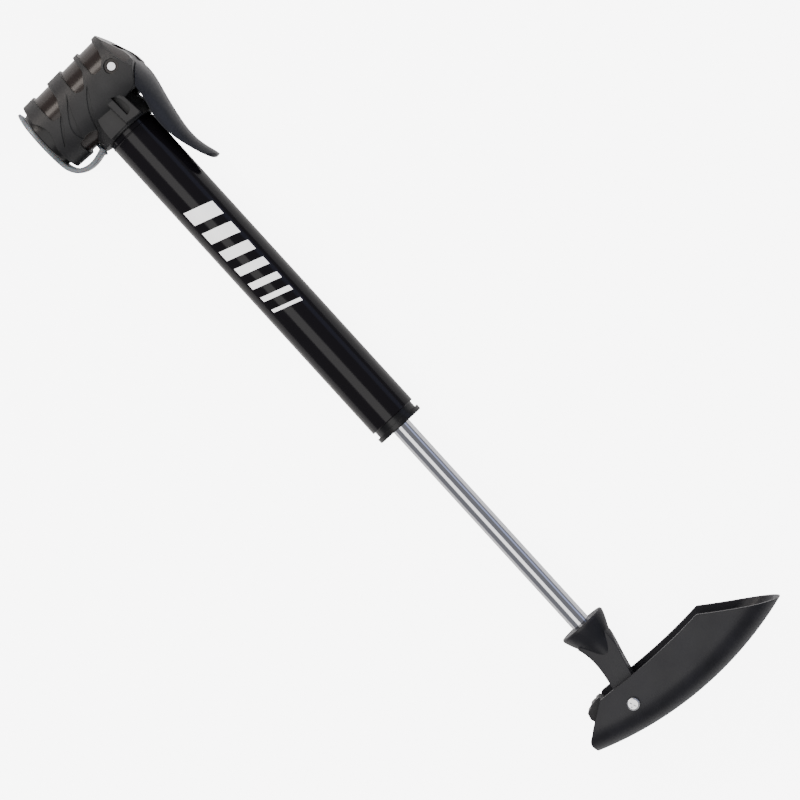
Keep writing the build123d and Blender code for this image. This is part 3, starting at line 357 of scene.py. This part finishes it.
white_acetal, tree, shader, places = new_finish(
    "natural_acetal", 0.35, Subsurface_Weight=0.2, Subsurface_Scale=1.0 * mm, IOR=1.48)
mottled(tree, shader, places, "#dedbd1", "#e8e5dc", 6 * mm)
grained(tree, shader, places, 0.5 * mm, 0.01 * mm, 0.2 * mm, 0.4)
print("soft and waxy finishes: vinyl, rubber, acetal")

# %% [markdown]
# The record says which finish each CAD node has, so the nodes are painted from
# that list. A CAD object arrives with one material slot for each finish, and a
# new material goes straight into the slot. The lever shares the head's slot but
# came out of its own mould, so it is the one part painted by name.

# %% Paint the CAD nodes
finishes = {
    "barrel_aluminium": barrel_finish,
    "head_nylon": head_nylon,
    "handle_nylon": handle_nylon,
    "latch_nylon": latch_nylon,
    "gland_plastic": gland_acetal,
    "collar_plastic": collar_abs,
    "soft_vinyl": vinyl,
    "grommet_rubber": rubber,
    "nitrile": rubber,
    "acetal": white_acetal,
    "brass_tube": brass,
    "spring_steel": spring_wire,
    "bright_steel": zinc,
    "chromed_steel": chrome,
}
slot_of = {part["node"]: part["material_slot"] for part in frame["record"]["subparts"]}
for name, node in frame["nodes"].items():
    finish = lever_nylon if name == "lever" else finishes[slot_of[name]]
    if not node.material_slots:
        node.data.materials.append(finish)
    for material_slot in node.material_slots:
        material_slot.material = finish
print("painted", len(frame["nodes"]), "nodes with", len(set(slot_of.values())), "finishes")

# %% [markdown]
# The dust cap hangs on a strap of the same vinyl, moulded in one piece: a flat,
# leaf-shaped flap with a plug on it covers the valve mouth, then the strap
# narrows, bends back on itself and is hooked into the neck. It is built as a
# ribbon: a rounded rectangle is carried along a curve, and its width and
# thickness change on the way. The curve goes through a few listed points and
# is smoothed between them with a Catmull-Rom spline.

# %% The strap's route and widths
flap_thick = 2.3 * mm
flap_mid = cap_low.y + flap_thick / 2
strap_route = [  # x, y, half width, half thickness, in millimetres
    (-37.6, flap_mid / mm, 0.9, 0.5),
    (-35.4, flap_mid / mm, 2.9, 0.9),
    (-31.0, flap_mid / mm, 6.2, 1.15),
    (-26.0, flap_mid / mm, 8.4, 1.15),
    (-20.8, flap_mid / mm, 9.0, 1.15),
    (-15.0, flap_mid / mm, 7.6, 1.15),
    (-10.4, flap_mid / mm + 0.1, 5.4, 1.15),
    (-6.2, flap_mid / mm + 0.9, 4.6, 1.15),
    (-2.9, flap_mid / mm + 3.1, 4.4, 1.1),
    (-1.2, flap_mid / mm + 6.6, 4.4, 1.1),
    (-0.9, flap_mid / mm + 10.4, 4.4, 1.1),
    (-1.7, flap_mid / mm + 14.2, 4.4, 1.15),
    (-2.7, flap_mid / mm + 17.2, 4.4, 1.2),
]


def smooth(rows, steps):
    """Rows of numbers with steps rows added between each pair, on a Catmull-Rom spline."""
    ends = [rows[0]] + rows + [rows[-1]]
    out = []
    for i in range(1, len(ends) - 2):
        a, b, c, d = (Vector(row) for row in ends[i - 1:i + 3])
        for k in range(steps):
            t = k / steps
            out.append(0.5 * (2 * b + (c - a) * t + (2 * a - 5 * b + 4 * c - d) * t * t
                              + (3 * b - a - 3 * c + d) * t * t * t))
    return out + [Vector(rows[-1])]


strap_rows = smooth(strap_route, 5)
print("strap sections:", len(strap_rows))

# %% [markdown]
# Each section of the ribbon lies square to the route. Its outline is a
# superellipse, which is a rounded rectangle in one formula, and its points are
# joined to the next section's by quads. The two ends are closed. The plug is
# turned: a profile spun round the valve's axis with a rounded rim. It is a
# closed solid of its own that sinks a little into the flap.

# %% Build the strap and the plug
def new_piece(name, vertices, faces, finish, smooth_angle):
    """A mesh object in the model's frame, smooth except at edges sharper than that."""
    mesh = bpy.data.meshes.new(name)
    mesh.from_pydata([tuple(v) for v in vertices], [], faces)
    work = bmesh.new()
    work.from_mesh(mesh)
    bmesh.ops.recalc_face_normals(work, faces=work.faces)
    for edge in work.edges:
        edge.smooth = edge.calc_face_angle(0.0) < math.radians(smooth_angle)
    for face in work.faces:
        face.smooth = True
    work.to_mesh(mesh)
    work.free()
    piece = bpy.data.objects.new(name, mesh)
    bpy.context.scene.collection.objects.link(piece)
    mesh.materials.append(finish)
    return piece


def turned(profile, axis_x, steps, first=0):
    """Points and faces of a closed solid turned about a line parallel to Y.

    The profile is (radius, y) in millimetres, and first is the first point's number.
    """
    points, faces = [], []
    for k in range(steps):
        turn = math.tau * k / steps
        for r, y in profile:
            points.append(Vector((axis_x + r * mm * math.cos(turn), y * mm,
                                  r * mm * math.sin(turn))))
    rows = len(profile)
    starts = [first + k * rows for k in range(steps)]
    for a, b in zip(starts, starts[1:] + starts[:1]):
        for j in range(rows - 1):
            faces.append((a + j, a + j + 1, b + j + 1, b + j))
    faces.append(tuple(starts))
    faces.append(tuple(a + rows - 1 for a in starts)[::-1])
    return points, faces


section_points = 28
edge_power, face_power = 0.25, 0.4  # below 1, they square the ribbon's edges and faces
strap_vertices, strap_faces = [], []
for i, row in enumerate(strap_rows):
    before, after = strap_rows[max(i - 1, 0)], strap_rows[min(i + 1, len(strap_rows) - 1)]
    way = Vector((after[0] - before[0], after[1] - before[1], 0)).normalized()
    side = Vector((-way.y, way.x, 0))
    centre = Vector((row[0], row[1], 0)) * mm
    for k in range(section_points):
        turn = math.tau * k / section_points
        c, s = math.cos(turn), math.sin(turn)
        wide = math.copysign(abs(c) ** edge_power, c) * row[2] * mm
        thick = math.copysign(abs(s) ** face_power, s) * row[3] * mm
        strap_vertices.append(centre + side * thick + Vector((0, 0, wide)))
for i in range(len(strap_rows) - 1):
    for k in range(section_points):
        n = (k + 1) % section_points
        a, b = i * section_points, (i + 1) * section_points
        strap_faces.append((a + k, a + n, b + n, b + k))
last = (len(strap_rows) - 1) * section_points
strap_faces.append(tuple(range(section_points))[::-1])
strap_faces.append(tuple(range(last, last + section_points)))

plug_floor = (cap_low.y + flap_thick) / mm
plug_profile = [(4.5, -0.5), (4.5, 1.5), (4.3, 2.0), (3.6, 2.3)]  # radius, height over the flap
plug_points, plug_faces = turned(
    [(r, plug_floor + y) for r, y in plug_profile], valve_x, 48, len(strap_vertices))
strap_vertices += plug_points
strap_faces += plug_faces
strap = new_piece("cap_strap", strap_vertices, strap_faces, vinyl, 50)
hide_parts("dust_cap")
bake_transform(strap)
print("cap_strap:", len(strap.data.vertices), "points")

# %% [markdown]
# The strap is moulded onto a small barb that is pushed into the neck. The CAD
# node for the strap's root has that barb, hidden in the neck's wall, so a short
# turned stud stands for the whole node here: a disc under the strap's end and
# the pin that goes into the wall.

# %% The strap's stud
anchor_x = -2.8 * mm
stud_profile = [  # radius, y
    (0.9, root_high.y / mm), (0.9, -13.9), (2.6, -14.0), (3.0, -14.5), (2.6, -15.2)]
stud_vertices, stud_faces = turned(stud_profile, anchor_x, 40)
stud = new_piece("strap_stud", stud_vertices, stud_faces, vinyl, 35)
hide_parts("strap_root")
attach(stud, "barrel")
print("strap_stud:", len(stud.data.vertices), "points")

# %% [markdown]
# The barrel carries a printed graphic in white ink. Here it is a plain set of
# slanted stripes that get narrower, with no lettering. Screen-printed ink is a
# film, so each stripe is a thin closed shell bent round the tube: a grid in
# length and angle, with an outer face, an inner face and walls. It is set out
# from the barrel's box, which takes in the rolled bead, so it stands about
# 0.2 mm off the tube.

# %% White printed stripes
# The ink's emission is painted glow: the stripes shine with light of their own, on top of what the
# lamps give them.
ink, tree, shader, places = new_finish("white_screen_ink_painted_glow", 0.4, Emission_Strength=1.0)
shader.inputs["Emission Color"].default_value = (1.1, 1.1, 1.1, 1.0)  # painted glow: the ink gives off light of its own to keep the stripes bright white
mottled(tree, shader, places, "#f1f1f0", "#fbfbfa", 4 * mm)
grained(tree, shader, places, 0.3 * mm, 0.005 * mm, 0.05 * mm, 0.4)
graphic_x0, graphic_x1 = 43.0 * mm, 99.0 * mm
graphic_half = 6.3 * mm  # half the graphic's height, seen from the side
ink_film = 0.06 * mm
slant = 0.32  # how far a stripe leans along the tube for each unit round it
stripe_widths = [7.0, 6.0, 5.0, 4.0, 3.2, 2.4, 1.6]
stripe_gap = (graphic_x1 - graphic_x0 - sum(stripe_widths) * mm) / (len(stripe_widths) - 1)
half_turn = math.asin(graphic_half / barrel_r)
ink_vertices, ink_faces = [], []
stripe_x = graphic_x0
arc_steps = 16
for width in stripe_widths:
    start = len(ink_vertices)
    for i in range(arc_steps + 1):
        turn = -half_turn + 2 * half_turn * i / arc_steps
        lean = slant * barrel_r * turn
        for r in (barrel_r - ink_film, barrel_r + ink_film):
            for x in (stripe_x, stripe_x + width * mm):
                ink_vertices.append(Vector((x + lean, r * math.sin(turn), r * math.cos(turn))))
    for i in range(arc_steps):
        a, b = start + 4 * i, start + 4 * (i + 1)
        for j, k in ((0, 1), (1, 3), (3, 2), (2, 0)):
            ink_faces.append((a + j, a + k, b + k, b + j))
    last = start + 4 * arc_steps
    ink_faces.append((start, start + 2, start + 3, start + 1))
    ink_faces.append((last, last + 1, last + 3, last + 2))
    stripe_x += width * mm + stripe_gap
stripes = new_piece("barrel_stripes", ink_vertices, ink_faces, ink, 30)
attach(stripes, "barrel")
print("barrel_stripes:", len(stripe_widths), "stripes over",
      round((graphic_x1 - graphic_x0) / mm), "mm")

# %% [markdown]
# The grommet and the two check springs give when the lever or a ball presses on
# them. Here each one only gets a mesh of its own, not shared with other objects.

# %% Pieces that give
for name, joint, axis, travel in (
        ("valve_grommet", "plunger_slide", (0, 1, 0), 2.0 * mm),
        ("pull_check_spring", "pull_check_lift", (1, 0, 0), 0.8 * mm),
        ("push_check_spring", "push_check_lift", (1, 0, 0), 0.8 * mm)):
    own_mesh(bpy.data.objects[name])

# %% [markdown]
# The pump lies on its side on a white light table: a sheet of opal acrylic that
# glows evenly from below. A camera set for the dark pump sees the sheet almost
# burnt out, while its glow only puts a faint rim on the glossy edges, so the
# sheet is brighter for rays that come straight from the camera than for light
# that it sheds. It isn't part of the object, so it is staged.

# %% The light table
table_glow, table_seen = 0.28, 7.0
opal, tree, shader, places = new_finish("opal_acrylic", 0.5, Specular_IOR_Level=0.1)
mottled(tree, shader, places, "#f4f4f4", "#f7f7f7", 120 * mm)
shader.inputs["Emission Color"].default_value = linear("#ffffff")
ray = add_node(tree, "ShaderNodeLightPath")
glow = add_node(tree, "ShaderNodeMapRange",
                {"Value": ray.outputs["Is Camera Ray"], "To Min": table_glow, "To Max": table_seen})
tree.links.new(glow.outputs["Result"], shader.inputs["Emission Strength"])
middle = (cad_low + cad_high) / 2
table_half = 3.0
table_top = cad_low.z - 0.2 * mm
table_mesh = bpy.data.meshes.new("light_table")
work = bmesh.new()
bmesh.ops.create_grid(work, x_segments=8, y_segments=8, size=table_half)
work.to_mesh(table_mesh)
work.free()
table = bpy.data.objects.new("light_table", table_mesh)
table.location = (middle.x, middle.y, table_top)
table_mesh.materials.append(opal)
bpy.context.scene.collection.objects.link(table)
print("table at z =", round(table_top / mm, 2), "mm")

# %% [markdown]
# The camera looks almost straight down on the pump, from a little on the
# lever's side, with the barrel running diagonally across the picture. Its axes
# are worked out from that lean and that turn, and it stands far away with a long
# lens, so the pump keeps its proportions.

# %% Camera
lean = math.radians(7.0)
turn = math.radians(47.65)
camera_away = 1.4
aim = Vector((0.1593, 0.00705, 0))
over = Vector((0, math.cos(lean), -math.sin(lean)))
right = math.cos(turn) * Vector((1, 0, 0)) + math.sin(turn) * over
up = -math.sin(turn) * Vector((1, 0, 0)) + math.cos(turn) * over
ahead = Vector((0, -math.sin(lean), -math.cos(lean)))
lens = bpy.data.cameras.new("camera")
lens.lens = 150.05
lens.sensor_width = 36
camera = bpy.data.objects.new("camera", lens)
bpy.context.scene.collection.objects.link(camera)
facing = Matrix((right, up, -ahead)).transposed().to_4x4()
facing.translation = aim - ahead * camera_away
camera.matrix_world = facing
bpy.context.scene.camera = camera
print("camera at", [round(c, 3) for c in camera.location])

# %% [markdown]
# Three soft boxes light the pump. A wide one overhead puts the broad grey band
# along the barrel, a tall narrow one beyond the head draws the bright streaks
# in the polished recesses, and a cool one on the lever's side gives the lever
# and the lug their bluish sheen. The room itself is a dim grey, so that black
# gloss stays black.

# %% Soft boxes and room
def soft_box(name, direction, away, wide, tall, glow, colour, turn_up):
    """An area light that faces the pump from a direction; glow is its radiance."""
    light = bpy.data.lights.new(name, "AREA")
    light.shape = "RECTANGLE"
    light.size, light.size_y = wide, tall
    light.energy = glow * math.pi * wide * tall
    light.color = linear(colour)[:3]
    box = bpy.data.objects.new(name, light)
    place = Vector(direction).normalized() * away
    back = place.normalized()
    sideways = Vector(turn_up).cross(back).normalized()
    upright = back.cross(sideways)
    pose = Matrix((sideways, upright, back)).transposed().to_4x4()
    pose.translation = Vector((middle.x, 0, 0)) + place
    box.matrix_world = pose
    box.visible_camera = False
    bpy.context.scene.collection.objects.link(box)


soft_box("overhead_box", (0, -0.24, 1), 1.7, 2.4, 1.1, 2.2, "#fffdfa", (0, 1, 0))
soft_box("head_box", (-0.82, 0, 0.57), 1.5, 1.6, 0.36, 8.0, "#fff6ee", (0, 0, 1))
soft_box("lever_box", (0, 1.0, 0.5), 1.8, 2.6, 0.6, 0.6, "#b9c8ff", (0, 0, 1))
world = bpy.data.worlds.new("room")
world.use_nodes = True
bpy.context.scene.world = world
world.node_tree.nodes["Background"].inputs["Color"].default_value = linear("#85858a")
world.node_tree.nodes["Background"].inputs["Strength"].default_value = 1.0
